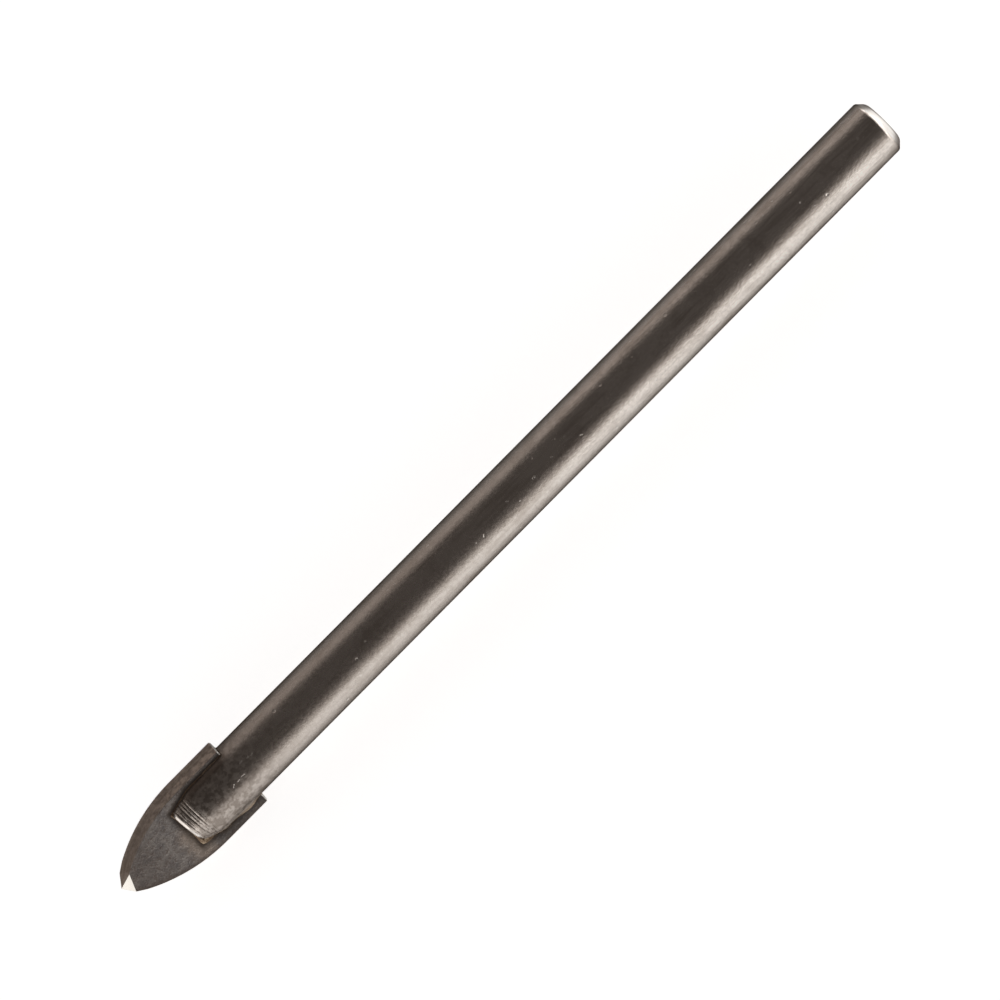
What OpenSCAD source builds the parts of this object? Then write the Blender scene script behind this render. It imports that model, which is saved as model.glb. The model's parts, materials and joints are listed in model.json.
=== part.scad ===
// Glass and tile drill bit: a round steel shank whose front end is slotted into two jaws,
// a flat spear-shaped carbide blade held between them, and the braze that joins the two.
// The bit lies along X with its point towards -X. It rests on its shank and on a heel of
// the blade, on the plane Z = 0. Sizes are in millimetres and degrees.

/* [Shank] */
// Overall length, from the point to the back end
overall_len = 104; // [80:1:140]
// Diameter of the round bar, which a chuck grips
shank_d = 6.2; // [5.4:0.1:6.8]
// Diameter of the front end of the two jaws
nose_d = 4.8; // [4:0.1:5.4]
// Length of the turned cone at the front end
nose_len = 2.4; // [1:0.1:5]
// How much the jaws narrow in diameter, from the full bar to the back of the cone
jaw_taper = 0.2; // [0.1:0.05:0.5]
// Chamfer round the back end
end_chamfer = 0.8; // [0.3:0.1:1.5]

/* [Blade] */
// Diameter of the hole that the two lips drill
drill_d = 8; // [7.4:0.1:10]
// Thickness of the blade
blade_t = 2.3; // [1.6:0.1:2.8]
// Length of the blade, from its point to its back edge
blade_len = 16; // [13:0.5:22]
// Length of the parallel stretch at the back of the blade
blade_straight = 5.5; // [2:0.5:8]
// Length of the blade that sits between the jaws
blade_held = 7.3; // [5:0.1:10]
// Length of the straight-sided point
point_len = 1.8; // [1:0.1:3]
// Angle between the two sides of the point
point_angle = 70; // [56:1:84]
// Relief angle behind the two lips
relief = 12; // [6:1:16]
// Slope of the gash that thins each face at the point
gash_slope = 45; // [35:1:60]
// Skew of the gash, away from square to the axis
gash_skew = 23; // [0:1:30]

/* [Braze] */
// Thickness of the braze film between the jaws and the blade
braze_film = 0.08; // [0.04:0.01:0.15]
// Width and height of the braze fillet round each jaw
braze_fillet = 0.3; // [0.2:0.05:0.5]

/* [Hidden] */
$fn = 96;

shank_colour = "#5d544e";
blade_colour = "#625a57";
braze_colour = "#8a7150";

shank_r = shank_d / 2;
jaw_r = (shank_d - jaw_taper) / 2;
nose_r = nose_d / 2;
half_t = blade_t / 2;
half_slot = half_t + braze_film;

// Stations along the axis, counted from the point
seat_x = blade_len - blade_held;
cone_end_x = seat_x + nose_len;
slot_end_x = blade_len + braze_film;
straight_x = blade_len - blade_straight;

// Each lip is a corner of the blade's section, on the drilled diameter, and the heel
// behind it stands back by the relief.
lip_half = sqrt(pow(drill_d / 2, 2) - pow(half_t, 2));
heel_half = lip_half - blade_t * tan(relief);

// The outline lies in a plane that is tipped by the relief angle. An arc runs from the
// shoulder of the point to the parallel stretch, and is tangent to that stretch.
outline_half = (lip_half + heel_half) / 2 * cos(relief);
shoulder_half = point_len * tan(point_angle / 2) * cos(relief);
arc_len = straight_x - point_len;
arc_rise = outline_half - shoulder_half;
arc_r = (pow(arc_len, 2) + pow(arc_rise, 2)) / (2 * arc_rise);
arc_span = atan2(arc_len, arc_r - arc_rise);
arc_steps = 24;

// The bit rolls on its shank until a heel meets the plane that it lies on.
heel_r = norm([heel_half, half_t]);
rest_roll = asin(min(1, shank_r / heel_r)) - atan2(half_t, heel_half);

// How far a cutter runs past what it cuts
overshoot = 1;

// Half the width, at height z over the axis, of a round section of radius r
function half_chord(r, z) = sqrt(pow(r, 2) - pow(z, 2));

// Point on the arc of a flank, at an angle back from the parallel stretch
function flank_point(angle) =
    [straight_x - arc_r * sin(angle), outline_half - arc_r * (1 - cos(angle))];

// Puts the bit, which is modelled along X from its point, where it lies.
module lie() {
    translate([-overall_len / 2, 0, shank_r])
        rotate([rest_roll, 0, 0])
            children();
}

// Repeats a shape on the blade's other face, half a turn about the axis.
module on_both_faces() {
    for (turn = [0, 180])
        rotate([turn, 0, 0])
            children();
}

// Outer form of the shank, turned about the axis
module turned_bar() {
    rotate([0, 90, 0])
        rotate_extrude()
            polygon([
                [0, seat_x],
                [nose_r, seat_x],
                [jaw_r, cone_end_x],
                [shank_r, slot_end_x],
                [shank_r, overall_len - end_chamfer],
                [shank_r - end_chamfer, overall_len],
                [0, overall_len]
            ]);
}

// Slot across the front end, which takes the blade and its film of braze
module slot() {
    translate([seat_x - overshoot, -drill_d, -half_slot])
        cube([slot_end_x - seat_x + overshoot, 2 * drill_d, 2 * half_slot]);
}

// Outline of the blade: a straight-sided point, two arcs and the parallel stretch
module spear_outline() {
    flank = [for (step = [0:arc_steps]) flank_point(arc_span * step / arc_steps)];
    polygon(concat(
        [[blade_len, outline_half]],
        flank,
        [[0, 0]],
        [for (step = [arc_steps:-1:0]) [flank[step].x, -flank[step].y]],
        [[blade_len, -outline_half]]
    ));
}

// The outline run through along the slope of the relieved flanks
module flank_prism() {
    rotate([relief, 0, 0])
        linear_extrude(height = 2 * drill_d, center = true)
            spear_outline();
}

// Blade as it is before the gashes are ground
module blade_blank() {
    intersection() {
        flank_prism();
        translate([-overshoot, -drill_d, -half_t])
            cube([blade_len + 2 * overshoot, 2 * drill_d, blade_t]);
    }
}

// Gash, which takes away all that lies over a sloping plane through the point
module gash() {
    rotate([0, 0, -gash_skew])
        rotate([0, -gash_slope, 0])
            translate([-drill_d, -drill_d, 0])
                cube([2 * drill_d, 2 * drill_d, drill_d]);
}

// Bar with its front end slotted into two jaws
module slotted_bar() {
    difference() {
        turned_bar();
        slot();
    }
}

// Plan of a jaw at height z over the axis, grown outwards by a margin
module jaw_plan(z, margin) {
    front_half = half_chord(nose_r, z) + margin;
    cone_half = half_chord(jaw_r, z) + margin;
    back_half = half_chord(shank_r, z) + margin;
    polygon([
        [seat_x - margin, -front_half],
        [cone_end_x, -cone_half],
        [slot_end_x, -back_half],
        [slot_end_x, back_half],
        [cone_end_x, cone_half],
        [seat_x - margin, front_half]
    ]);
}

// Braze on one face of the blade, under a jaw and up against its foot. Its sloping top
// runs on into the jaw, which cuts it.
module face_braze() {
    fillet_top = half_t + braze_fillet;
    hull() {
        translate([0, 0, half_t])
            linear_extrude(height = braze_film)
                jaw_plan(half_t, braze_fillet);
        translate([0, 0, fillet_top - braze_film])
            linear_extrude(height = braze_film)
                jaw_plan(fillet_top, -braze_film);
    }
}

// Braze behind the blade's back edge
module back_braze() {
    intersection() {
        turned_bar();
        translate([blade_len, -drill_d, -half_slot])
            cube([braze_film, 2 * drill_d, 2 * half_slot]);
    }
}

module shank() {
    color(shank_colour)
        lie()
            slotted_bar();
}

module carbide_blade() {
    color(blade_colour)
        lie()
            difference() {
                blade_blank();
                on_both_faces() gash();
            }
}

module braze_joint() {
    color(braze_colour)
        lie()
            difference() {
                union() {
                    on_both_faces() face_braze();
                    back_braze();
                }
                slotted_bar();
            }
}

shank();
carbide_blade();
braze_joint();
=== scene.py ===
import json
import math

import bmesh
import bpy
from mathutils import Matrix, Vector, noise


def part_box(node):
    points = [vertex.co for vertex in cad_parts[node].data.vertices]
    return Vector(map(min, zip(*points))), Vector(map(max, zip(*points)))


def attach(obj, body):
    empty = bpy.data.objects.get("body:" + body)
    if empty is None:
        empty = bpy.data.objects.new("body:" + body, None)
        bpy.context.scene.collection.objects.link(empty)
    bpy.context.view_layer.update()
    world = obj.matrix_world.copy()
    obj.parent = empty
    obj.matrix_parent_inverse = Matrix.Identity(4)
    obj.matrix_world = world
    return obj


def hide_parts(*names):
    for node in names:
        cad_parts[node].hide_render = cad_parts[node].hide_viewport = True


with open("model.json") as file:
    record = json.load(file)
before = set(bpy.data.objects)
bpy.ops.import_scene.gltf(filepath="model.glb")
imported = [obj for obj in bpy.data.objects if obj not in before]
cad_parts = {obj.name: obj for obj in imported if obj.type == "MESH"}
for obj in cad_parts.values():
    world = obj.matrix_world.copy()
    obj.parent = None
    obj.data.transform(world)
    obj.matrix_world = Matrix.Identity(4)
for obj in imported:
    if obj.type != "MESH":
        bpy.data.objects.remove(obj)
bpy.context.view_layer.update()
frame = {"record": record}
mm = 0.001
mergeDist = 1e-7  # closer points are one point
findDist = 1e-6  # how near a line or plane a point is looked for
print("frame loaded")

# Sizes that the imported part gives, with x counted back from the point
shankLow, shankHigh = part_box("shank")
bladeLow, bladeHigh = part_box("carbide_blade")
gripMount = next(m for m in frame["record"]["mounts"] if m["name"] == "shank")
shankR = gripMount["dims"]["r_mm"] * mm
axisZ = gripMount["pos_m"][2]
pointX = bladeLow.x
bitLen = shankHigh.x - pointX
seatX = shankLow.x - pointX
bladeLen = bladeHigh.x - pointX

blade = {
    "thick": 2.3 * mm,
    "drillDia": 8.0 * mm,
    "straight": 5.5 * mm,
    "pointLen": 1.8 * mm,
    "pointAngle": math.radians(70),
    "relief": math.radians(12),
    "gashSlope": math.radians(45),
    "gashSkew": math.radians(23),
    "arcSteps": 48,
    "edgeRound": 0.035 * mm,
    "edgeSegments": 2,
    "edgeAngle": math.radians(20),  # edges that turn by more are rounded
    "backRound": 0.14 * mm,
    "backSegments": 5,
    "sharpAngle": math.radians(15),
}
halfT = blade["thick"] / 2
lipHalf = math.sqrt((blade["drillDia"] / 2) ** 2 - halfT**2)
heelHalf = lipHalf - blade["thick"] * math.tan(blade["relief"])


def makeFlankLine():
    # The blade's outline square to its relieved flanks: an arc, then a parallel stretch
    outlineHalf = (lipHalf + heelHalf) / 2
    shoulderHalf = blade["pointLen"] * math.tan(blade["pointAngle"] / 2)
    straightX = bladeLen - blade["straight"]
    arcLen = straightX - blade["pointLen"]
    arcRise = (outlineHalf - shoulderHalf) * math.cos(blade["relief"])
    arcR = (arcLen**2 + arcRise**2) / (2 * arcRise)
    return {
        "outlineHalf": outlineHalf,
        "straightX": straightX,
        "arcR": arcR,
        "arcSpan": math.atan2(arcLen, arcR - arcRise),
        "midV": outlineHalf * math.cos(blade["relief"]) - arcR,
    }


flankLine = makeFlankLine()

shank = {
    "noseR": 2.4 * mm,
    "noseLen": 2.4 * mm,
    "noseSkew": math.radians(5.5),  # the front end is cut a little off square
    "jawTaper": 0.2 * mm,
    "endChamfer": 0.8 * mm,
    "bareChamfer": 0.85,  # share of the chamfer that is bare metal
    "slotGap": 0.08 * mm,
    "rimLen": 0.3 * mm,
    "rimSlope": math.radians(38),  # of the worn rim at the front end
    "edgeRound": 0.06 * mm,
    "edgeSegments": 2,
    "coneRound": 0.15 * mm,
    "coneSegments": 3,
    "backRound": 0.16 * mm,
    "endRound": 0.3 * mm,
    "endSegments": 4,
    "sharpAngle": math.radians(12),
    # Grooves that the turning left on the cone: mm from the point, width and depth in mm
    "turnMarks": [
        (9.22, 0.18, 0.02), (9.77, 0.25, 0.04), (10.08, 0.1, 0.014),
        (10.37, 0.24, 0.038), (10.68, 0.1, 0.016),
    ],
    "steps": 192,
}
jawR = shankR - shank["jawTaper"] / 2
coneEnd = seatX + shank["noseLen"]
slotEnd = bladeLen + shank["slotGap"]
halfSlot = halfT + shank["slotGap"]

# The bit is modelled along x from its point, then rolled until a heel meets the floor
heelR = math.hypot(heelHalf, halfT)
restRoll = math.asin(min(1, shankR / heelR)) - math.atan2(halfT, heelHalf)
place = Matrix.Translation((pointX, 0, axisZ)) @ Matrix.Rotation(restRoll, 4, "X")


def makePiece(name, bm, finishes, node, sharpAngle):
    bmesh.ops.remove_doubles(bm, verts=bm.verts, dist=mergeDist)
    bmesh.ops.recalc_face_normals(bm, faces=bm.faces)
    bmesh.ops.transform(bm, matrix=place, verts=bm.verts)
    mesh = bpy.data.meshes.new(name)
    bm.to_mesh(mesh)
    bm.free()
    for finish in finishes:
        mesh.materials.append(finish)
    mesh.shade_smooth()
    mesh.set_sharp_from_angle(angle=sharpAngle)
    piece = bpy.data.objects.new(name, mesh)
    bpy.context.scene.collection.objects.link(piece)
    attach(piece, "root")
    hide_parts(node)
    print(name, len(mesh.polygons), "faces")


# Node helpers

def addNode(tree, kind, **settings):
    node = tree.nodes.new(kind)
    for key, value in settings.items():
        setattr(node, key, value)
    return node


def fillSocket(tree, socket, value):
    # A number or a colour is set, and anything else is linked
    if isinstance(value, (int, float)):
        socket.default_value = value
    elif isinstance(value, tuple):
        socket.default_value = (*value, 1.0)
    else:
        tree.links.new(value, socket)


def addMath(tree, operation, *values):
    node = addNode(tree, "ShaderNodeMath", operation=operation)
    for socket, value in zip(node.inputs, values):
        fillSocket(tree, socket, value)
    return node.outputs[0]


def multiply(tree, first, *others):
    for other in others:
        first = addMath(tree, "MULTIPLY", first, other)
    return first


def addLength(tree, a, b):
    return addMath(tree, "SQRT", addMath(tree, "ADD", multiply(tree, a, a), multiply(tree, b, b)))


def addRange(tree, value, low, high, toLow=0.0, toHigh=1.0, smooth=True):
    node = addNode(tree, "ShaderNodeMapRange")
    node.interpolation_type = "SMOOTHSTEP" if smooth else "LINEAR"
    tree.links.new(value, node.inputs["Value"])
    limits = {"From Min": low, "From Max": high, "To Min": toLow, "To Max": toHigh}
    for socketName, limit in limits.items():
        fillSocket(tree, node.inputs[socketName], limit)
    return node.outputs[0]


def addMix(tree, factor, a, b):
    node = addNode(tree, "ShaderNodeMix", data_type="RGBA")
    for index, value in ((0, factor), (6, a), (7, b)):  # the sockets of a colour mix
        fillSocket(tree, node.inputs[index], value)
    return node.outputs[2]


def splitAxes(tree, vector):
    axes = addNode(tree, "ShaderNodeSeparateXYZ")
    tree.links.new(vector, axes.inputs[0])
    return axes.outputs[:3]


# Shader groups that several finishes share

def newGroup(name, values, result):
    group = bpy.data.node_groups.new(name, "ShaderNodeTree")
    sockets = group.interface
    sockets.new_socket("Vector", in_out="INPUT", socket_type="NodeSocketVector")
    for socketName, value in values.items():
        socket = sockets.new_socket(socketName, in_out="INPUT", socket_type="NodeSocketFloat")
        socket.default_value = value
    sockets.new_socket(result, in_out="OUTPUT", socket_type="NodeSocketFloat")
    source = group.nodes.new("NodeGroupInput").outputs
    target = group.nodes.new("NodeGroupOutput").inputs
    return group, source, target


def makeGrindLines():
    # Fine lines round the axis, which wander a little
    group, source, target = newGroup("grindLines", {"Along": 20.0, "Around": 0.5}, "Height")
    scale = addNode(group, "ShaderNodeCombineXYZ")
    for index, way in enumerate(("Along", "Around", "Around")):
        group.links.new(source[way], scale.inputs[index])
    stretch = addNode(group, "ShaderNodeVectorMath", operation="MULTIPLY")
    group.links.new(source["Vector"], stretch.inputs[0])
    group.links.new(scale.outputs[0], stretch.inputs[1])
    lines = addNode(group, "ShaderNodeTexNoise")
    lines.inputs["Scale"].default_value = 1.0
    lines.inputs["Detail"].default_value = 3.0
    lines.inputs["Roughness"].default_value = 0.6
    group.links.new(stretch.outputs[0], lines.inputs["Vector"])
    group.links.new(lines.outputs[0], target["Height"])
    return group


def makeMottle():
    # Soft cloudy patches
    group, source, target = newGroup("mottle", {"Scale": 1.0, "Low": 0.35, "High": 0.65}, "Mask")
    cloud = addNode(group, "ShaderNodeTexNoise")
    cloud.inputs["Detail"].default_value = 6.0
    cloud.inputs["Roughness"].default_value = 0.62
    group.links.new(source["Vector"], cloud.inputs["Vector"])
    group.links.new(source["Scale"], cloud.inputs["Scale"])
    mask = addRange(group, cloud.outputs[0], source["Low"], source["High"])
    group.links.new(mask, target["Mask"])
    return group


def makeSpecks():
    # Small dings, in a share of the cells only
    smallest, core = 0.3, 0.5  # shares of the size
    group, source, target = newGroup("specks", {"Scale": 0.6, "Size": 0.06, "Share": 0.3}, "Mask")
    cells = addNode(group, "ShaderNodeTexVoronoi")
    group.links.new(source["Vector"], cells.inputs["Vector"])
    group.links.new(source["Scale"], cells.inputs["Scale"])
    parts = addNode(group, "ShaderNodeSeparateColor")
    group.links.new(cells.outputs["Color"], parts.inputs[0])
    chosen = addMath(group, "LESS_THAN", parts.outputs[0], source["Share"])
    size = multiply(group, source["Size"], addMath(group, "ADD", parts.outputs[1], smallest))
    dot = addRange(group, cells.outputs["Distance"], multiply(group, size, core), size, 1.0, 0.0)
    group.links.new(multiply(group, dot, chosen), target["Mask"])
    return group


grindLines = makeGrindLines()
mottle = makeMottle()
specks = makeSpecks()


# Finishes. They measure in mm along the bit's own axes: x back from the point, v across
# the blade's faces and w square to them. v times w is below zero beside a lip, and above
# zero beside the heel behind it.
seatMm, coneMm, slotMm, backMm = seatX / mm, coneEnd / mm, slotEnd / mm, bladeLen / mm
faceMm = halfT / mm


def newFinish(name, look):
    finish = bpy.data.materials.new(name)
    finish.use_nodes = True
    tree = finish.node_tree
    shader = tree.nodes["Principled BSDF"]
    shader.inputs["Metallic"].default_value = 1.0
    shader.inputs["Roughness"].default_value = look["roughness"]
    shader.inputs["Specular Tint"].default_value = (*look["edgeTint"], 1.0)
    # Object coordinates, turned back to the bit's own axes
    coords = addNode(tree, "ShaderNodeTexCoord")
    mapping = addNode(tree, "ShaderNodeMapping", vector_type="POINT")
    back = place.inverted()
    mapping.inputs["Location"].default_value = back.translation / mm
    mapping.inputs["Rotation"].default_value = back.to_euler()
    mapping.inputs["Scale"].default_value = (1 / mm, 1 / mm, 1 / mm)
    tree.links.new(coords.outputs["Object"], mapping.inputs["Vector"])
    return finish, tree, shader, mapping.outputs[0]


def addGroup(tree, group, vector, values):
    node = addNode(tree, "ShaderNodeGroup", node_tree=group)
    tree.links.new(vector, node.inputs["Vector"])
    for key, value in values.items():
        node.inputs[key].default_value = value
    return node.outputs[0]


def addRoughness(tree, look, mask, low=0.0, high=1.0):
    least, most = look["roughSpread"]
    return addRange(tree, mask, low, high, look["roughness"] + least, look["roughness"] + most)


def addBump(tree, shader, height, distance):
    bump = addNode(tree, "ShaderNodeBump")
    bump.inputs["Strength"].default_value = 1.0
    bump.inputs["Distance"].default_value = distance
    tree.links.new(height, bump.inputs["Height"])
    tree.links.new(bump.outputs[0], shader.inputs["Normal"])


shankFinish = {
    "steel": (0.79, 0.735, 0.68),
    "heated": (0.61, 0.556, 0.51),  # browned by the brazing heat
    "stain": (0.46, 0.406, 0.36),
    "scorched": (0.3, 0.26, 0.228),
    "sootAndShade": (0.1, 0.08, 0.066),
    "ding": (0.85, 0.81, 0.76),
    "edgeTint": (0.04, 0.04, 0.04),
    "roughness": 0.2,
    "roughSpread": (-0.04, 0.06),
    "heatRough": 0.07,
    "scorchRough": 0.07,
    "washRough": 0.3,
    # Spans along the axis, from none to all
    "heatSpan": (80.0, 14.0),
    "scorchSpan": (23.0, 13.0),
    "dingSpan": (18.0, 22.0),
    "sootSpan": (slotMm + 1.0, slotMm - 0.8),
    "noseSoot": (9.2, 11.2, 0.35, 1.0),  # the soot thins on the cone
    "washSpan": (slotMm + 0.5, slotMm - 0.5),  # of braze that has washed up the jaws
    "feedSpan": (10.85, 10.65),
    # Spans over the blade's middle plane, and from side to side
    "sootRise": (2.35, 1.85),
    "washRise": (2.1, 1.5),
    "heelShadeSide": (-1.0, 2.5, 0.0, 0.85),
    "lipSide": (-1.0, -2.5),
    # Patterns
    "stainPattern": {"Scale": 0.55, "Low": 0.45, "High": 0.75},
    "streakPattern": {"Along": 0.16, "Around": 1.5},
    "blotchPattern": {"Scale": 1.7, "Low": 0.4, "High": 0.6},
    "grainPattern": {"Scale": 3.0, "Low": 0.3, "High": 0.7},
    "finePattern": {"Scale": 9.0, "Low": 0.25, "High": 0.75},
    "dingPattern": {"Scale": 1.2, "Size": 0.2, "Share": 0.24},
    "linePattern": {"Along": 14.0, "Around": 0.35},
    "feedPattern": {"Along": 3.6, "Around": 0.3},
    "streakSpan": (0.45, 0.7, 0.0, 0.6),
    "scaleSpan": (0.2, 0.8, 0.1, 0.7),  # of the scale in the turning grooves
    "stainShare": 0.55,
    "grainShare": 0.34,
    "scorchLeast": 0.3,
    "dingShare": 0.6,
    "nickShare": 0.8,
    # Heights, in shares of the bump's depth
    "bumpDepth": 0.008 * mm,
    "grainHeight": 1.05,
    "fineHeight": 0.14,
    "lineHeight": 0.25,
    "feedHeight": 9.0,
    "dingHeight": -2.6,
    "nickHeight": -2.8,
    # Nicks: mm from the point, degrees round from the blade's face, heading, length in mm
    "nicks": [
        (14.8, 6.3, 44, 0.26), (15.5, 7.3, 8, 0.2), (16.15, 8.6, -4, 0.32), (16.9, 28.4, 12, 0.28),
        (17.7, 26, -6, 0.16), (18.2, 24.6, 20, 0.24), (15.2, 190, 10, 0.3), (17.9, 172, -8, 0.22),
        (48.7, 4.5, 60, 0.22), (52.6, 18, -40, 0.2), (56.1, 15, 75, 0.2), (57.2, 43, 70, 0.16),
        (58.6, 17.4, -50, 0.18), (62.1, 7.5, -35, 0.2), (71.0, 160, 40, 0.24), (44.0, 200, -60, 0.2),
    ],
    "nickWidth": 0.11,
}


def addNick(tree, vector, x, around, heading, length):
    # A short scratch, on a patch of the bar that is turned to face local z
    aroundAxis = Matrix.Rotation(-math.radians(around), 3, "X")
    turned = aroundAxis @ Matrix.Rotation(math.radians(heading), 3, "Z")
    mapping = addNode(tree, "ShaderNodeMapping", vector_type="TEXTURE")
    mapping.inputs["Location"].default_value = (x, 0, 0)
    mapping.inputs["Rotation"].default_value = turned.to_euler()
    tree.links.new(vector, mapping.inputs["Vector"])
    along, across, out = splitAxes(tree, mapping.outputs[0])
    past = addMath(tree, "SUBTRACT", addMath(tree, "ABSOLUTE", along), length / 2)
    past = addMath(tree, "MAXIMUM", past, 0.0)
    mark = addRange(tree, addLength(tree, past, across), shankFinish["nickWidth"], 0.0)
    return multiply(tree, mark, addMath(tree, "GREATER_THAN", out, 0.0))


def addGrooveScale(tree, look, colour, square, grain):
    # Dark scale left in the turning grooves, most of it on their front walls
    ahead, edge, core = 0.2, 0.5, 0.15  # shares of a groove's width
    patchy = addRange(tree, grain, *look["scaleSpan"])
    for mark, width, _ in shank["turnMarks"]:
        away = addMath(tree, "ABSOLUTE", addMath(tree, "SUBTRACT", square, mark - width * ahead))
        scale = multiply(tree, addRange(tree, away, width * edge, width * core), patchy)
        colour = addMix(tree, scale, colour, look["sootAndShade"])
    return colour


def makeShankSteel():
    look = shankFinish
    finish, tree, shader, vector = newFinish("groundSteel", look)
    x, v, w = splitAxes(tree, vector)
    side = multiply(tree, v, w)
    fromMiddle = addMath(tree, "ABSOLUTE", w)
    heat = addRange(tree, x, *look["heatSpan"])
    scorch = addRange(tree, x, *look["scorchSpan"])
    stain = addGroup(tree, mottle, vector, look["stainPattern"])
    streaks = addGroup(tree, grindLines, vector, look["streakPattern"])
    blotch = addGroup(tree, mottle, vector, look["blotchPattern"])
    grain = addGroup(tree, mottle, vector, look["grainPattern"])
    fine = addGroup(tree, mottle, vector, look["finePattern"])
    dings = addGroup(tree, specks, vector, look["dingPattern"])
    dings = multiply(tree, dings, addRange(tree, x, *look["dingSpan"]))
    lines = addGroup(tree, grindLines, vector, look["linePattern"])
    feed = addGroup(tree, grindLines, vector, look["feedPattern"])
    scratches = addNick(tree, vector, *look["nicks"][0])
    for nick in look["nicks"][1:]:
        scratches = addMath(tree, "MAXIMUM", scratches, addNick(tree, vector, *nick))

    colour = addMix(tree, heat, look["steel"], look["heated"])
    colour = addMix(tree, multiply(tree, stain, look["stainShare"]), colour, look["stain"])
    colour = addMix(tree, addRange(tree, streaks, *look["streakSpan"]), colour, look["stain"])
    colour = addMix(tree, multiply(tree, grain, look["grainShare"]), colour, look["stain"])
    blotches = addRange(tree, blotch, 0.0, 1.0, look["scorchLeast"], 1.0)
    colour = addMix(tree, multiply(tree, scorch, blotches), colour, look["scorched"])
    # Soot and painted shade on the jaws beside the blade, most of it on the side of the heel
    low = addRange(tree, fromMiddle, *look["sootRise"])
    sootAndShade = multiply(tree, low, addRange(tree, side, *look["heelShadeSide"]))
    sootAndShade = multiply(tree, sootAndShade, addRange(tree, x, *look["sootSpan"]))
    sootAndShade = multiply(tree, sootAndShade, addRange(tree, x, *look["noseSoot"]))
    colour = addMix(tree, sootAndShade, colour, look["sootAndShade"])
    # The front end's off-square cut taken back, so that the grooves stand at their own x
    share = addRange(tree, x, coneMm, seatMm, smooth=False)
    lean = multiply(tree, share, v, math.tan(shank["noseSkew"]))
    square = addMath(tree, "ADD", x, lean)
    colour = addGrooveScale(tree, look, colour, square, grain)
    colour = addMix(tree, multiply(tree, dings, look["dingShare"]), colour, look["ding"])
    colour = addMix(tree, multiply(tree, scratches, look["nickShare"]), colour, look["ding"])
    tree.links.new(colour, shader.inputs["Base Color"])

    wash = addRange(tree, side, *look["lipSide"])
    wash = multiply(tree, wash, addRange(tree, fromMiddle, *look["washRise"]))
    wash = multiply(tree, wash, addRange(tree, x, *look["washSpan"]))
    rough = addRoughness(tree, look, grain)
    for mask, key in ((heat, "heatRough"), (scorch, "scorchRough"), (wash, "washRough")):
        rough = addMath(tree, "ADD", rough, multiply(tree, mask, look[key]))
    tree.links.new(rough, shader.inputs["Roughness"])

    feed = multiply(tree, feed, addRange(tree, square, *look["feedSpan"]))
    height = multiply(tree, grain, look["grainHeight"])
    for mask, key in (
        (fine, "fineHeight"), (lines, "lineHeight"), (feed, "feedHeight"),
        (dings, "dingHeight"), (scratches, "nickHeight"),
    ):
        height = addMath(tree, "ADD", height, multiply(tree, mask, look[key]))
    addBump(tree, shader, height, look["bumpDepth"])
    return finish


# Bare metal on the turned back end and on the jaws' worn front rim
turnedFinish = {
    "bright": (0.86, 0.83, 0.79),
    "stain": (0.62, 0.58, 0.54),
    "ringDark": (0.5, 0.47, 0.44),
    "shadedRim": (0.56, 0.52, 0.48),
    "edgeTint": (0.5, 0.48, 0.46),
    "roughness": 0.22,
    "roughSpread": (-0.05, 0.08),
    "stainPattern": {"Scale": 1.6, "Low": 0.4, "High": 0.8},
    "stainShare": 0.4,
    "ringScale": 7.0,
    "ringDetail": 4.0,
    "ringSpan": (0.42, 0.7, 0.0, 0.3),
    "ringRough": (0.3, 0.7),
    "frontSpan": (slotMm, seatMm + 1.0),
    "heelShadeSide": (-2.0, 0.5, 0.1, 1.0),
    "bumpDepth": 0.008 * mm,
}


def makeTurnedSteel():
    look = turnedFinish
    finish, tree, shader, vector = newFinish("turnedSteel", look)
    x, v, w = splitAxes(tree, vector)
    # The tool's marks run round the axis, so they change with the radius alone
    marks = addNode(tree, "ShaderNodeTexNoise", noise_dimensions="1D")
    marks.inputs["Scale"].default_value = look["ringScale"]
    marks.inputs["Detail"].default_value = look["ringDetail"]
    tree.links.new(addLength(tree, v, w), marks.inputs["W"])
    rings = marks.outputs[0]
    stain = addGroup(tree, mottle, vector, look["stainPattern"])
    colour = addMix(tree, multiply(tree, stain, look["stainShare"]), look["bright"], look["stain"])
    colour = addMix(tree, addRange(tree, rings, *look["ringSpan"]), colour, look["ringDark"])
    # Painted shade: the jaws' front rim is darker on the side of the heel
    front = addRange(tree, x, *look["frontSpan"])
    front = multiply(tree, front, addRange(tree, multiply(tree, v, w), *look["heelShadeSide"]))
    colour = addMix(tree, front, colour, look["shadedRim"])
    tree.links.new(colour, shader.inputs["Base Color"])
    rough = addRoughness(tree, look, rings, *look["ringRough"])
    tree.links.new(rough, shader.inputs["Roughness"])
    addBump(tree, shader, rings, look["bumpDepth"])
    return finish


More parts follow.
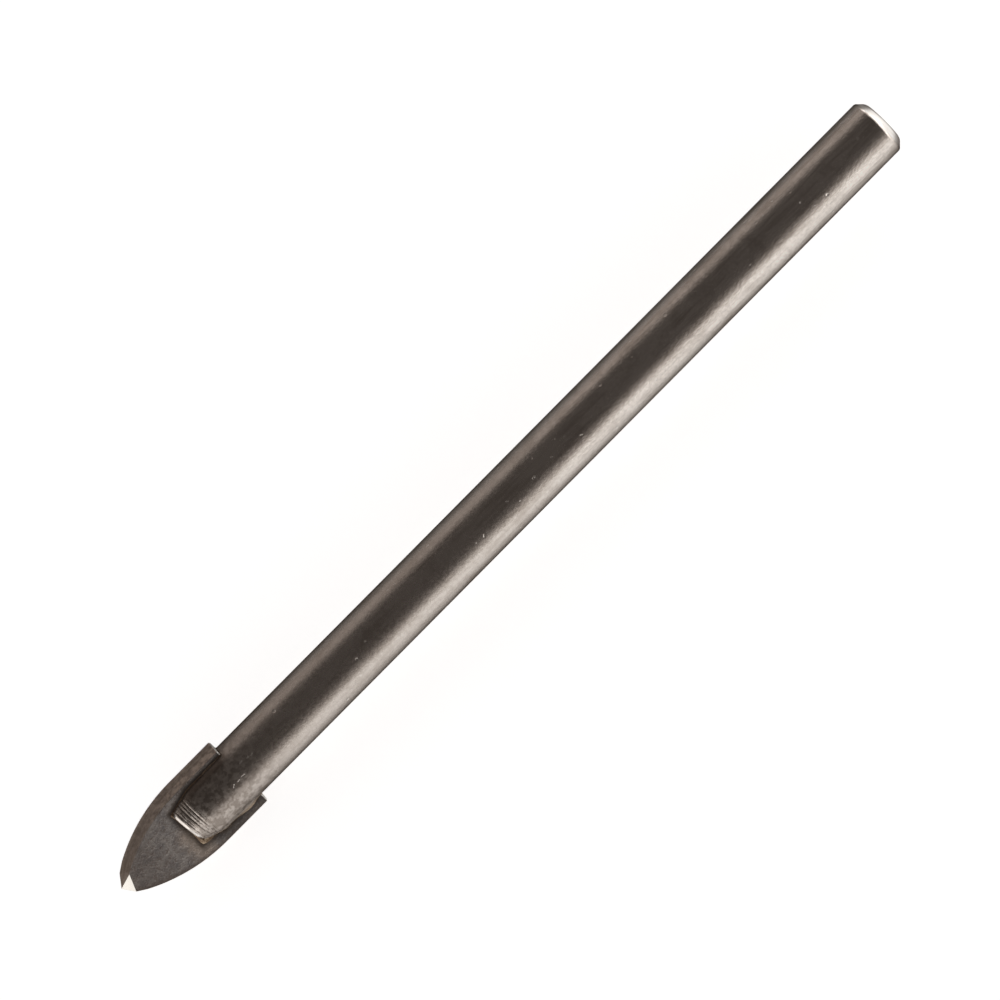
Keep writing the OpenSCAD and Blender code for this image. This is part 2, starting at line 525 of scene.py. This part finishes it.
bladeFinish = {
    "carbide": (0.4, 0.37, 0.35),
    "patch": (0.25, 0.232, 0.228),
    "brown": (0.17, 0.14, 0.122),
    "flank": (0.57, 0.468, 0.395),
    "wornFlank": (0.85, 0.72, 0.62),
    "pale": (0.52, 0.51, 0.49),
    "litNearJaw": (0.55, 0.45, 0.37),  # painted light, lighter and warm-tinted, that lifts the shade in front of the jaws
    "backGlint": (0.66, 0.64, 0.61),
    "fluxStain": (0.2, 0.145, 0.1),
    "sootAndShade": (0.05, 0.042, 0.036),
    "edgeTint": (0.2, 0.19, 0.18),
    "roughness": 0.45,
    "roughSpread": (-0.08, 0.08),
    # Spans along the axis
    "tipShade": (7.5, 3.0, 0.0, 0.46),
    "flankShadeSpan": (12.5, 3.0, 0.0, 0.75),
    "warmFrom": (seatMm - 2.4, seatMm - 0.5, 0.0, 0.55),
    "warmTo": (seatMm + 1.4, seatMm + 0.2),
    "backGlintSpan": (backMm - 0.16, backMm - 0.05, 0.0, 0.9),
    # Spans from side to side, and square to the faces
    "warmSide": (1.0, -0.5),
    "wornSide": (0.5, -4.0, 0.0, 0.55),
    "sootSide": (-1.0, 1.0, 0.85, 1.0),
    "sootReach": (-1.0, 1.0, 1.4, 0.75),  # mm beside the jaws, by the lip and by the heel
    "flankSpan": (faceMm - 0.12, faceMm - 0.02, 1.0, 0.0),
    # Patterns
    "patchPattern": {"Scale": 0.9, "Low": 0.4, "High": 0.6},
    "grainPattern": {"Scale": 2.4, "Low": 0.4, "High": 0.66},
    "finePattern": {"Scale": 6.0, "Low": 0.38, "High": 0.66},
    "rustPattern": {"Scale": 1.9, "Low": 0.4, "High": 0.62},
    "grainShare": 0.8,
    "paleSpan": (0.45, 1.0, 0.0, 0.5),
    "flankShares": (0.9, 0.6),  # where the grain is pale and where it is dark
    "rustShare": 0.6,
    # Painted shade where the faces darken towards the lips, in mm in from the edge
    "lipShadeSpan": (0.55, 0.1, 0.0, 0.75),
    "lipShadeOnFlank": 0.66,
    # Flux in front of the jaws and soot beside them, in mm from a jaw
    "fluxSpan": (0.75, 0.1),
    "fluxWander": 0.4,
    "fluxShare": 0.7,
    "sootFull": 0.2,
    "sootAhead": (1.0, 0.1),
    "sootOnFlank": 0.2,
    "sootShare": 0.92,
    "bumpDepth": 0.014 * mm,
    "grainHeight": 0.7,
    "fineHeight": 0.3,
}


def addLipEdge(tree, x, v, w):
    # How far in from the flank's arc a point of the face lies, on the side of the lip
    lean = blade["relief"]
    fromMid = multiply(tree, v, addMath(tree, "SIGN", w), -math.cos(lean))
    middle = (halfT * math.sin(lean) + flankLine["midV"]) / mm
    fromMid = addMath(tree, "SUBTRACT", fromMid, middle)
    onArc = addMath(tree, "SUBTRACT", x, flankLine["straightX"] / mm)
    onArc = addMath(tree, "MINIMUM", onArc, 0.0)
    return addMath(tree, "SUBTRACT", flankLine["arcR"] / mm, addLength(tree, fromMid, onArc))


def addBesideJaw(tree, x, v):
    # How far out from the side of a jaw's foot a point of the face lies
    footFront = math.sqrt(shank["noseR"] ** 2 - halfSlot**2) / mm
    footBack = math.sqrt(jawR**2 - halfSlot**2) / mm
    foot = addRange(tree, x, seatMm, coneMm, footFront, footBack, smooth=False)
    return addMath(tree, "SUBTRACT", addMath(tree, "ABSOLUTE", v), foot)


def makeCarbide():
    look = bladeFinish
    finish, tree, shader, vector = newFinish("sinteredCarbide", look)
    x, v, w = splitAxes(tree, vector)
    side = multiply(tree, v, w)
    patch = addGroup(tree, mottle, vector, look["patchPattern"])
    grain = addGroup(tree, mottle, vector, look["grainPattern"])
    fine = addGroup(tree, mottle, vector, look["finePattern"])
    rust = addGroup(tree, mottle, vector, look["rustPattern"])
    flank = addRange(tree, addMath(tree, "ABSOLUTE", w), *look["flankSpan"])

    colour = addMix(tree, patch, look["carbide"], look["patch"])
    colour = addMix(tree, multiply(tree, grain, look["grainShare"]), colour, look["brown"])
    colour = addMix(tree, addRange(tree, fine, *look["paleSpan"]), colour, look["pale"])
    # Painted shade: the faces darken and brown towards the point
    colour = addMix(tree, addRange(tree, x, *look["tipShade"]), colour, look["brown"])
    # Painted light in front of the jaws, on the side of the lip
    warmLit = addRange(tree, x, *look["warmFrom"])
    warmLit = multiply(tree, warmLit, addRange(tree, side, *look["warmSide"]))
    warmLit = multiply(tree, warmLit, addRange(tree, x, *look["warmTo"]))
    colour = addMix(tree, warmLit, colour, look["litNearJaw"])
    # The flanks: paler than the faces, worn towards the lip, and darker towards the point with
    # painted shade
    grainOnFlank = addRange(tree, grain, 0.0, 1.0, *look["flankShares"])
    colour = addMix(tree, multiply(tree, flank, grainOnFlank), colour, look["flank"])
    pointShade = multiply(tree, flank, addRange(tree, x, *look["flankShadeSpan"]))
    colour = addMix(tree, pointShade, colour, look["brown"])
    worn = multiply(tree, flank, addRange(tree, side, *look["wornSide"]))
    colour = addMix(tree, worn, colour, look["wornFlank"])
    rusty = multiply(tree, flank, multiply(tree, rust, look["rustShare"]))
    colour = addMix(tree, rusty, colour, look["brown"])
    # Painted shade: the faces, and less the flanks, darken towards the lips
    lipShade = addRange(tree, addLipEdge(tree, x, v, w), *look["lipShadeSpan"])
    lipShade = multiply(tree, lipShade, addRange(tree, flank, 0.0, 1.0, 1.0, look["lipShadeOnFlank"]))
    colour = addMix(tree, lipShade, colour, look["brown"])
    # Brown flux in front of the jaws, and soot with painted shade along their sides
    ahead = addMath(tree, "SUBTRACT", seatMm, x)
    beside = addBesideJaw(tree, x, v)
    wander = multiply(tree, patch, look["fluxWander"])
    reach = addMath(tree, "ADD", addMath(tree, "MAXIMUM", ahead, beside), wander)
    flux = addRange(tree, reach, *look["fluxSpan"])
    colour = addMix(tree, multiply(tree, flux, look["fluxShare"]), colour, look["fluxStain"])
    sootReach = addRange(tree, side, *look["sootReach"])
    held = addRange(tree, side, *look["sootSide"])
    held = multiply(tree, held, addRange(tree, ahead, *look["sootAhead"]))
    sootAndShade = multiply(tree, addRange(tree, beside, sootReach, look["sootFull"]), held)
    sootAndShade = multiply(tree, sootAndShade, addRange(tree, flank, 0.0, 1.0, 1.0, look["sootOnFlank"]))
    colour = addMix(tree, multiply(tree, sootAndShade, look["sootShare"]), colour, look["sootAndShade"])
    # A painted highlight along the back edge
    colour = addMix(tree, addRange(tree, x, *look["backGlintSpan"]), colour, look["backGlint"])
    tree.links.new(colour, shader.inputs["Base Color"])

    tree.links.new(addRoughness(tree, look, grain), shader.inputs["Roughness"])
    coarse = multiply(tree, grain, look["grainHeight"])
    height = addMath(tree, "ADD", coarse, multiply(tree, fine, look["fineHeight"]))
    addBump(tree, shader, height, look["bumpDepth"])
    return finish


# Fresh diamond-ground facets at the point
facetFinish = {
    "ground": (0.56, 0.54, 0.505),
    "lineDark": (0.5, 0.465, 0.41),
    "edgeTint": (0.6, 0.58, 0.55),
    "roughness": 0.2,
    "linePattern": {"Along": 22.0, "Around": 6.0},
    "lineShare": 0.3,
    "bumpDepth": 0.003 * mm,
}


def makeGroundCarbide():
    look = facetFinish
    finish, tree, shader, vector = newFinish("groundCarbide", look)
    lines = addGroup(tree, grindLines, vector, look["linePattern"])
    lined = multiply(tree, lines, look["lineShare"])
    colour = addMix(tree, lined, look["ground"], look["lineDark"])
    tree.links.new(colour, shader.inputs["Base Color"])
    addBump(tree, shader, lines, look["bumpDepth"])
    return finish


brazeFinish = {
    "brown": (0.2, 0.14, 0.095),
    "gold": (0.42, 0.325, 0.23),
    "dark": (0.16, 0.115, 0.08),
    "goldGlint": (0.64, 0.51, 0.38),
    "washed": (0.62, 0.54, 0.47),  # thin, over the steel of a jaw
    "burntAndShade": (0.12, 0.08, 0.055),
    "edgeTint": (0.5, 0.42, 0.3),
    "roughness": 0.36,
    "roughSpread": (-0.08, 0.14),
    "goldPattern": {"Scale": 1.3, "Low": 0.47, "High": 0.62},
    "darkPattern": {"Scale": 2.6, "Low": 0.45, "High": 0.7},
    "lumpPattern": {"Scale": 6.0, "Low": 0.2, "High": 0.8},
    "darkShare": 0.6,
    "glintFrom": (12.6, 13.8),
    "glintTo": (15.6, 15.0, 0.0, 0.8),
    "washRise": (faceMm + 0.05, faceMm + 0.2, 0.0, 0.85),
    "washSide": (-1.0, -2.5),
    "washFrom": (9.4, 10.4),
    "burntShadeSide": (-1.0, 2.0, 0.0, 0.7),
    "bumpDepth": 0.03 * mm,
}


def makeBrazeMetal():
    look = brazeFinish
    finish, tree, shader, vector = newFinish("brazeMetal", look)
    x, v, w = splitAxes(tree, vector)
    side = multiply(tree, v, w)
    gold = addGroup(tree, mottle, vector, look["goldPattern"])
    dark = addGroup(tree, mottle, vector, look["darkPattern"])
    lumps = addGroup(tree, mottle, vector, look["lumpPattern"])
    colour = addMix(tree, gold, look["brown"], look["gold"])
    colour = addMix(tree, multiply(tree, dark, look["darkShare"]), colour, look["dark"])
    # Painted highlight: a paler gold stretch of the braze, 12.6 to 15.6 mm from the point
    goldGlint = addRange(tree, x, *look["glintFrom"])
    goldGlint = multiply(tree, goldGlint, addRange(tree, x, *look["glintTo"]))
    colour = addMix(tree, goldGlint, colour, look["goldGlint"])
    wash = addRange(tree, addMath(tree, "ABSOLUTE", w), *look["washRise"])
    wash = multiply(tree, wash, addRange(tree, side, *look["washSide"]))
    wash = multiply(tree, wash, addRange(tree, x, *look["washFrom"]))
    colour = addMix(tree, wash, colour, look["washed"])
    # Burnt flux and painted shade: the braze darkens on the side of the heel
    colour = addMix(tree, addRange(tree, side, *look["burntShadeSide"]), colour, look["burntAndShade"])
    tree.links.new(colour, shader.inputs["Base Color"])
    tree.links.new(addRoughness(tree, look, lumps), shader.inputs["Roughness"])
    addBump(tree, shader, lumps, look["bumpDepth"])
    return finish


shankSteel = makeShankSteel()
turnedSteel = makeTurnedSteel()
carbide = makeCarbide()
groundCarbide = makeGroundCarbide()
brazeMetal = makeBrazeMetal()
print("finishes made")


# Shank: a turned bar with its front end slotted

def coneRadius(x):
    return shank["noseR"] + (jawR - shank["noseR"]) * (x - seatX) / shank["noseLen"]


def noseShift(x, v):
    # How far the off-square cut moves a point of the cone towards the front
    share = max(0.0, min(1.0, (coneEnd - x) / shank["noseLen"]))
    return share * math.tan(shank["noseSkew"]) * v


def ringEdges(bm, x, r):
    def onRing(v):
        away = abs(math.hypot(v.co.y, v.co.z) - r)
        return abs(v.co.x - x) < findDist and away < findDist
    return [e for e in bm.edges if all(onRing(v) for v in e.verts)]


def roundEdges(bm, edges, offset, segments):
    bmesh.ops.bevel(
        bm, geom=edges, offset=offset, segments=segments,
        affect="EDGES", profile=0.5, material=-1, clamp_overlap=True,
    )


def cutAcross(bm, faces, point, normal):
    edges = list(dict.fromkeys(e for f in faces for e in f.edges))
    verts = list(dict.fromkeys(v for f in faces for v in f.verts))
    geom = verts + edges + faces
    bmesh.ops.bisect_plane(bm, geom=geom, dist=mergeDist, plane_co=point, plane_no=normal)


def cutSlot(bm):
    cutAcross(bm, bm.faces[:], (slotEnd, 0, 0), (1, 0, 0))
    for side in (1, -1):
        front = [f for f in bm.faces if f.calc_center_median().x < slotEnd]
        cutAcross(bm, front, (0, 0, side * halfSlot), (0, 0, 1))

    def inSlot(f):
        middle = f.calc_center_median()
        return middle.x < slotEnd and abs(middle.z) < halfSlot
    bmesh.ops.delete(bm, geom=[f for f in bm.faces if inSlot(f)], context="FACES")

    # Wall up the two jaws' inner faces, then the slot's floor
    def onWall(e, side):
        return e.is_boundary and all(abs(v.co.z - side * halfSlot) < findDist for v in e.verts)
    across = []
    for side in (1, -1):
        rim = [e for e in bm.edges if onWall(e, side)]
        rimVerts = dict.fromkeys(v for e in rim for v in e.verts)
        ends = [v for v in rimVerts if abs(v.co.x - slotEnd) < findDist]
        across.append(bm.edges.new(ends))
        bmesh.ops.contextual_create(bm, geom=rim + [across[-1]])
    floorRim = [e for e in bm.edges if e.is_boundary and e not in across]
    bmesh.ops.contextual_create(bm, geom=floorRim + across)


def makeShank():
    rimBack = seatX + shank["rimLen"]
    rimLow = coneRadius(rimBack) - shank["rimLen"] * math.tan(shank["rimSlope"])
    chamferX, chamferR = bitLen - shank["endChamfer"], shankR - shank["endChamfer"]
    profile = [(seatX, rimLow), (rimBack, coneRadius(rimBack))]
    for mark, width, depth in shank["turnMarks"]:
        x, half = mark * mm, width / 2 * mm
        profile.append((x - half, coneRadius(x - half)))
        profile.append((x, coneRadius(x) - depth * mm))
        profile.append((x + half, coneRadius(x + half)))
    profile += [(coneEnd, jawR), (slotEnd, shankR), (chamferX, shankR), (bitLen, chamferR)]
    bm = bmesh.new()
    verts = [bm.verts.new((x, 0, r)) for x, r in profile]
    edges = [bm.edges.new(pair) for pair in zip(verts, verts[1:])]
    bmesh.ops.spin(
        bm, geom=verts + edges, cent=(0, 0, 0), axis=(1, 0, 0),
        angle=math.tau, steps=shank["steps"], use_merge=True,
    )
    bmesh.ops.remove_doubles(bm, verts=bm.verts, dist=mergeDist)
    bmesh.ops.holes_fill(bm, edges=bm.edges, sides=0)
    frontRims = ringEdges(bm, seatX, rimLow) + ringEdges(bm, rimBack, coneRadius(rimBack))
    roundEdges(bm, frontRims, shank["edgeRound"], shank["edgeSegments"])
    roundEdges(bm, ringEdges(bm, coneEnd, jawR), shank["coneRound"], shank["coneSegments"])
    roundEdges(bm, ringEdges(bm, chamferX, shankR), shank["backRound"], shank["endSegments"])
    roundEdges(bm, ringEdges(bm, bitLen, chamferR), shank["endRound"], shank["endSegments"])
    for v in bm.verts:
        v.co.x -= noseShift(v.co.x, v.co.y)
    cutSlot(bm)
    bare = 1  # the second finish
    for f in bm.faces:
        middle = f.calc_center_median()
        unskewed = middle.x + math.tan(shank["noseSkew"]) * middle.y
        onRim = unskewed < rimBack - shank["edgeRound"] / 2 and abs(middle.z) > halfSlot + findDist
        if middle.x > bitLen - shank["endChamfer"] * shank["bareChamfer"] or onRim:
            f.material_index = bare
    finishes = [shankSteel, turnedSteel]
    makePiece("shankBar", bm, finishes, "shank", shank["sharpAngle"])


makeShank()


# Blade: the spear outline, sheared by its relief, with a gash cut on each face

def makeOutline():
    outlineHalf, arcR = flankLine["outlineHalf"], flankLine["arcR"]
    flank = []
    for step in range(blade["arcSteps"] + 1):
        angle = flankLine["arcSpan"] * step / blade["arcSteps"]
        drop = arcR * (1 - math.cos(angle)) / math.cos(blade["relief"])
        flank.append((flankLine["straightX"] - arcR * math.sin(angle), outlineHalf - drop))
    otherFlank = [(x, -v) for x, v in reversed(flank)]
    return [(bladeLen, outlineHalf)] + flank + [(0, 0)] + otherFlank + [(bladeLen, -outlineHalf)]


def cutGash(bm, turn):
    fineDist = 1e-8
    ground = 1  # the second finish
    slope, skew = blade["gashSlope"], blade["gashSkew"]
    across = math.sin(slope) * math.sin(skew)
    normal = Vector((-math.sin(slope) * math.cos(skew), turn * across, turn * math.cos(slope)))
    geom = bm.verts[:] + bm.edges[:] + bm.faces[:]
    bmesh.ops.bisect_plane(
        bm, geom=geom, dist=fineDist, plane_co=(0, 0, 0), plane_no=normal, clear_outer=True,
    )
    rim = [e for e in bm.edges if e.is_boundary]
    for f in bmesh.ops.holes_fill(bm, edges=rim, sides=0)["faces"]:
        f.material_index = ground


def makeBlade():
    lean = math.tan(blade["relief"])
    bm = bmesh.new()
    lower = [bm.verts.new((x, v + halfT * lean, -halfT)) for x, v in makeOutline()]
    raised = bmesh.ops.extrude_face_region(bm, geom=[bm.faces.new(lower)])["geom"]
    upper = [g for g in raised if isinstance(g, bmesh.types.BMVert)]
    bmesh.ops.translate(bm, verts=upper, vec=(0, -blade["thick"] * lean, blade["thick"]))
    for turn in (1, -1):
        cutGash(bm, turn)
    bmesh.ops.recalc_face_normals(bm, faces=bm.faces)

    def atBack(e):
        return all(abs(v.co.x - bladeLen) < findDist for v in e.verts)
    backEdges = [e for e in bm.edges if atBack(e)]
    roundEdges(bm, backEdges, blade["backRound"], blade["backSegments"])
    corners = [e for e in bm.edges if e.is_manifold and e.calc_face_angle() > blade["edgeAngle"]]
    roundEdges(bm, corners, blade["edgeRound"], blade["edgeSegments"])
    finishes = [carbide, groundCarbide]
    makePiece("spearBlade", bm, finishes, "carbide_blade", blade["sharpAngle"])


makeBlade()


# Braze: a film under each jaw that swells into an uneven fillet round its foot
braze = {
    "inset": 0.3 * mm,
    "sideWidth": 0.12 * mm,
    "frontWidth": 0.11 * mm,
    "sideSteps": 60,
    "frontSteps": 40,
    "riseShare": 0.75,  # of the width
    "lipRise": 0.2 * mm,  # how much higher it stands on the side of the lip
    "crestSink": 0.03 * mm,  # how far its crest runs into the jaw
    "hollow": [(0.22, 0.45), (0.55, 0.16)],  # shares of the width and of the rise
    "wander": 0.75,
    "wanderScale": 0.9,  # lumps per mm
    "wanderSeed": 7.3,
    "pools": [(8.95, -2.15, 0.26, 0.85), (14.2, -2.9, 0.16, 1.1)],  # x, v, width, reach in mm
    "sharpAngle": math.radians(50),
}


def barRadius(x):
    if x < coneEnd:
        return coneRadius(max(x, seatX))
    return jawR + (shankR - jawR) * min(1.0, (x - coneEnd) / (slotEnd - coneEnd))


def jawFoot():
    # Points round a jaw's foot with their outward directions, from back to back
    side = []
    for step in range(braze["sideSteps"] + 1):
        x = slotEnd + (seatX - slotEnd) * step / braze["sideSteps"]
        side.append((x, math.sqrt(barRadius(x) ** 2 - halfSlot**2)))
    frontHalf = side[-1][1]
    points = side[:]
    for step in range(1, braze["frontSteps"]):
        points.append((seatX, frontHalf * (1 - 2 * step / braze["frontSteps"])))
    points += [(x, -v) for x, v in reversed(side)]
    last = len(points) - 1
    foot = []
    for index, (x, v) in enumerate(points):
        before = Vector(points[max(index - 1, 0)])
        after = Vector(points[min(index + 1, last)])
        along = (after - before).normalized()
        outward = Vector((along.y, -along.x))
        if index in (0, last):
            outward = Vector((0, math.copysign(1, v)))
        foot.append((Vector((x - noseShift(x, v), v)), outward))
    return foot


def filletWidth(spot, onFront, turn):
    width = braze["frontWidth"] if onFront else braze["sideWidth"]
    at = Vector((spot.x / mm, spot.y / mm, braze["wanderSeed"] * turn))
    width *= 1 + braze["wander"] * noise.noise(at * braze["wanderScale"])
    for poolX, poolV, poolWidth, reach in braze["pools"]:
        away = math.hypot(spot.x / mm - poolX, spot.y / mm - poolV) / reach
        width += poolWidth * mm * math.exp(-away * away)
    return width


def filletSection(spot, outward, turn):
    # Distances out from the foot and heights over the blade's middle plane
    onFront = abs(outward.x) > abs(outward.y)
    width = filletWidth(spot, onFront, turn)
    rise = width * braze["riseShare"]
    if spot.y < 0 and not onFront:
        rise += braze["lipRise"]
    radius = barRadius(spot.x)
    crestIn = math.sqrt(radius**2 - (halfT + rise) ** 2) - math.sqrt(radius**2 - halfSlot**2)
    crestIn *= abs(outward.y)
    section = [(-braze["inset"], halfSlot), (crestIn - braze["crestSink"], halfT + rise)]
    section += [(width * out, halfT + rise * up) for out, up in braze["hollow"]]
    return section + [(width, halfT)]


def addFillet(bm, turn):
    lines = []
    for spot, outward in jawFoot():
        line = []
        for offset, height in filletSection(spot, outward, turn):
            at = spot + outward * offset
            line.append(bm.verts.new((min(at.x, slotEnd), turn * at.y, turn * height)))
        lines.append(line)
    rings = list(zip(*lines))
    strips = [[bm.edges.new(pair) for pair in zip(ring, ring[1:])] for ring in rings]
    for lower, upper in zip(strips, strips[1:]):
        bmesh.ops.bridge_loops(bm, edges=lower + upper)
    for ring, strip in ((rings[0], strips[0]), (rings[-1], strips[-1])):
        backEdge = bm.edges.new((ring[0], ring[-1]))
        bmesh.ops.contextual_create(bm, geom=strip + [backEdge])
    bm.faces.new(lines[0] + lines[-1][::-1])


def makeBrazeJoint():
    bm = bmesh.new()
    for turn in (1, -1):
        addFillet(bm, turn)
    backStrip = bmesh.ops.create_cube(bm, size=1.0)["verts"]
    stripHalf = math.sqrt(shankR**2 - halfSlot**2)
    bmesh.ops.scale(bm, verts=backStrip, vec=(shank["slotGap"], 2 * stripHalf, 2 * halfT))
    bmesh.ops.translate(bm, verts=backStrip, vec=((bladeLen + slotEnd) / 2, 0, 0))
    makePiece("brazeSeam", bm, [brazeMetal], "braze_joint", braze["sharpAngle"])


makeBrazeJoint()
print("pieces made")


# Stage: a pale floor, soft panels past the ends of the bit, a dim room and a dark card of painted
# shade
stage = {
    "floorSize": 8.0,
    "floorColour": (0.9, 0.9, 0.9),
    "floorGlow": 0.76,
    "paperRoughness": 0.9,
    # What the bit mirrors of the floor, with a painted shadow that makes it dimmer close beside the
    # bit
    "mirrorGlow": 0.72,
    "shadowedGlow": 0.31,
    "backGlow": 0.84,
    "backShade": 0.8,  # how the floor past the back end dims towards the card
    "besideSpan": (-3 * mm, -11 * mm),  # y, out from the bit
    "besideEnd": (50 * mm, 53 * mm),  # x, where the painted shadow beside the bit goes dark
    "pointSpan": (-34 * mm, -42 * mm),  # x, out past the point
    "backSpan": (53 * mm, 60 * mm),  # x, out past the back end
    "panelSize": (2.8, 0.34),
    "panelAway": 0.6,
    "panelHeight": 0.17,
    "panelPower": 3.4,
    "zenith": 0.07,
    "nearHorizon": 1.12,  # the bright side of the room, level with the floor
    "nearTop": 0.75,  # how far up that brightness reaches
    "nearFall": 2.2,
    "farBand": 0.35,
    "farTop": (0.83, 0.5),  # heights are 0 level with the floor and 1 overhead
    "farFoot": (0.0, 0.3, 0.85, 1.0),
    "farSide": (0.2, 0.7),  # how far round, where 1 is straight behind the bit
    "warmLight": (1.0, 0.885, 0.825),
    "whiteLight": (1.0, 0.985, 0.96),
    "cardGrey": 0.75,
    "cardFrom": 0.009,
    "cardTo": 0.4,
    "cardHalf": 0.5,
    "cardEnd": 0.057,
    "cardHeight": 0.2 * mm,
}


def makePlane(name, low, high, height):
    bm = bmesh.new()
    bmesh.ops.create_grid(bm, x_segments=1, y_segments=1, size=0.5)
    bmesh.ops.scale(bm, verts=bm.verts, vec=(high[0] - low[0], high[1] - low[1], 1))
    middle = ((low[0] + high[0]) / 2, (low[1] + high[1]) / 2, height)
    bmesh.ops.translate(bm, verts=bm.verts, vec=middle)
    mesh = bpy.data.meshes.new(name)
    bm.to_mesh(mesh)
    bm.free()
    finish = bpy.data.materials.new(name + "Paper")
    finish.use_nodes = True
    shader = finish.node_tree.nodes["Principled BSDF"]
    shader.inputs["Roughness"].default_value = stage["paperRoughness"]
    shader.inputs["Specular IOR Level"].default_value = 0.0
    mesh.materials.append(finish)
    plane = bpy.data.objects.new(name, mesh)
    bpy.context.scene.collection.objects.link(plane)
    return plane, finish.node_tree, shader


def makeFloor():
    half = stage["floorSize"] / 2
    _, tree, shader = makePlane("floor", (-half, -half), (half, half), 0)
    shader.inputs["Base Color"].default_value = (*stage["floorColour"], 1.0)
    shader.inputs["Emission Color"].default_value = (1, 1, 1, 1)
    coords = addNode(tree, "ShaderNodeTexCoord")
    x, y, _ = splitAxes(tree, coords.outputs["Object"])
    # Painted shadow seen only in the bit's reflections: the floor is dimmer close beside the bit and
    # round its back end
    nearShadowGlow = addRange(tree, x, *stage["besideEnd"], stage["shadowedGlow"], 0.0)
    beside = addRange(tree, y, *stage["besideSpan"], nearShadowGlow, stage["mirrorGlow"])
    pastPoint = addRange(tree, x, *stage["pointSpan"], 0.0, stage["mirrorGlow"])
    shade = multiply(tree, addMath(tree, "MAXIMUM", y, 0.0), stage["backShade"])
    shaded = addMath(tree, "SUBTRACT", x, shade)
    pastBack = addRange(tree, shaded, *stage["backSpan"], 0.0, stage["backGlow"])
    glow = addMath(tree, "MAXIMUM", beside, addMath(tree, "MAXIMUM", pastPoint, pastBack))
    ray = addNode(tree, "ShaderNodeLightPath").outputs
    mirrored = multiply(tree, ray["Is Glossy Ray"], glow)
    seen = addMath(tree, "MAXIMUM", ray["Is Camera Ray"], ray["Is Transmission Ray"])
    seen = multiply(tree, seen, stage["floorGlow"])
    tree.links.new(addMath(tree, "MAXIMUM", seen, mirrored), shader.inputs["Emission Strength"])


def makeShadeCard():
    # Painted shade: lies behind the bit and only shows in its reflections, as the floor's shade
    # there
    low, high = (-stage["cardHalf"], stage["cardFrom"]), (stage["cardEnd"], stage["cardTo"])
    card, _, shader = makePlane("shadeCard", low, high, stage["cardHeight"])
    shader.inputs["Base Color"].default_value = (stage["cardGrey"],) * 3 + (1.0,)
    card.visible_camera = False
    card.visible_diffuse = False
    card.visible_shadow = False


def makePanel(name, side):
    light = bpy.data.lights.new(name, "AREA")
    light.shape = "RECTANGLE"
    light.size, light.size_y = stage["panelSize"]
    light.energy = stage["panelPower"]
    panel = bpy.data.objects.new(name, light)
    panel.location = (side * stage["panelAway"], 0, stage["panelHeight"])
    aim = Vector((0, 0, 0)) - panel.location
    panel.rotation_euler = aim.to_track_quat("-Z", "Y").to_euler()
    panel.visible_camera = False
    bpy.context.scene.collection.objects.link(panel)


def makeRoom():
    world = bpy.data.worlds.new("room")
    world.use_nodes = True
    tree = world.node_tree
    coords = addNode(tree, "ShaderNodeTexCoord")
    _, y, z = splitAxes(tree, coords.outputs["Generated"])
    fall = addRange(tree, z, 0.0, stage["nearTop"], 1.0, 0.0, smooth=False)
    fall = addMath(tree, "POWER", fall, stage["nearFall"])
    near = multiply(tree, fall, stage["nearHorizon"] - stage["zenith"])
    far = multiply(tree, addRange(tree, z, *stage["farTop"]), addRange(tree, z, *stage["farFoot"]))
    far = multiply(tree, far, stage["farBand"] - stage["zenith"])
    # How far round to the far side a direction points, whatever its height
    leastLevel = 1e-4  # keeps the division safe straight up and down
    level = addMath(tree, "SUBTRACT", 1.0, multiply(tree, z, z))
    level = addMath(tree, "SQRT", addMath(tree, "MAXIMUM", level, leastLevel))
    behind = addRange(tree, addMath(tree, "DIVIDE", y, level), *stage["farSide"])
    nearPart = multiply(tree, near, addMath(tree, "SUBTRACT", 1.0, behind))
    strength = addMath(tree, "ADD", nearPart, multiply(tree, far, behind))
    strength = addMath(tree, "ADD", strength, stage["zenith"])
    # Plain white where the camera sees past the floor
    seen = addNode(tree, "ShaderNodeLightPath").outputs["Is Camera Ray"]
    colour = addMix(tree, nearPart, stage["warmLight"], stage["whiteLight"])
    backdrop = tree.nodes["Background"]
    tree.links.new(addMix(tree, seen, colour, (1.0, 1.0, 1.0)), backdrop.inputs["Color"])
    tree.links.new(addMath(tree, "MAXIMUM", strength, seen), backdrop.inputs["Strength"])
    bpy.context.scene.world = world


makeFloor()
makeShadeCard()
makePanel("pointPanel", -1)
makePanel("backPanel", 1)
makeRoom()
print("stage made")


# Camera: square to the axis, leaning from the vertical, with the bit across the frame
view = {
    "lean": math.radians(21.8),
    "axisTilt": math.radians(45.24),  # of the bit's axis in the picture
    "distance": 0.676,
    "pixelsPerMm": 10.4,
    "middlePixel": (502.2, 505.0),
    "frameWidth": 1000,
    "sensor": 36.0,
    "clipStart": 0.01,
}


def makeCamera():
    back = Vector((0, -math.sin(view["lean"]), math.cos(view["lean"])))
    across = Vector((0, math.cos(view["lean"]), math.sin(view["lean"])))
    along = Vector((1, 0, 0))
    cosTilt, sinTilt = math.cos(view["axisTilt"]), math.sin(view["axisTilt"])
    right = along * cosTilt - across * sinTilt
    up = along * sinTilt + across * cosTilt
    pixel = mm / view["pixelsPerMm"]
    offRight = (view["frameWidth"] / 2 - view["middlePixel"][0]) * pixel
    offUp = (view["middlePixel"][1] - view["frameWidth"] / 2) * pixel
    target = Vector((pointX + bitLen / 2, 0, axisZ)) + right * offRight + up * offUp
    data = bpy.data.cameras.new("camera")
    data.sensor_width = view["sensor"]
    data.lens = view["sensor"] * view["distance"] / (view["frameWidth"] * pixel)
    data.clip_start = view["clipStart"]
    camera = bpy.data.objects.new("camera", data)
    turned = Matrix((right, up, back)).transposed().to_4x4()
    camera.matrix_world = Matrix.Translation(target + back * view["distance"]) @ turned
    bpy.context.scene.collection.objects.link(camera)
    bpy.context.scene.camera = camera


makeCamera()
bpy.context.scene.view_settings.view_transform = "Standard"
print("camera set")
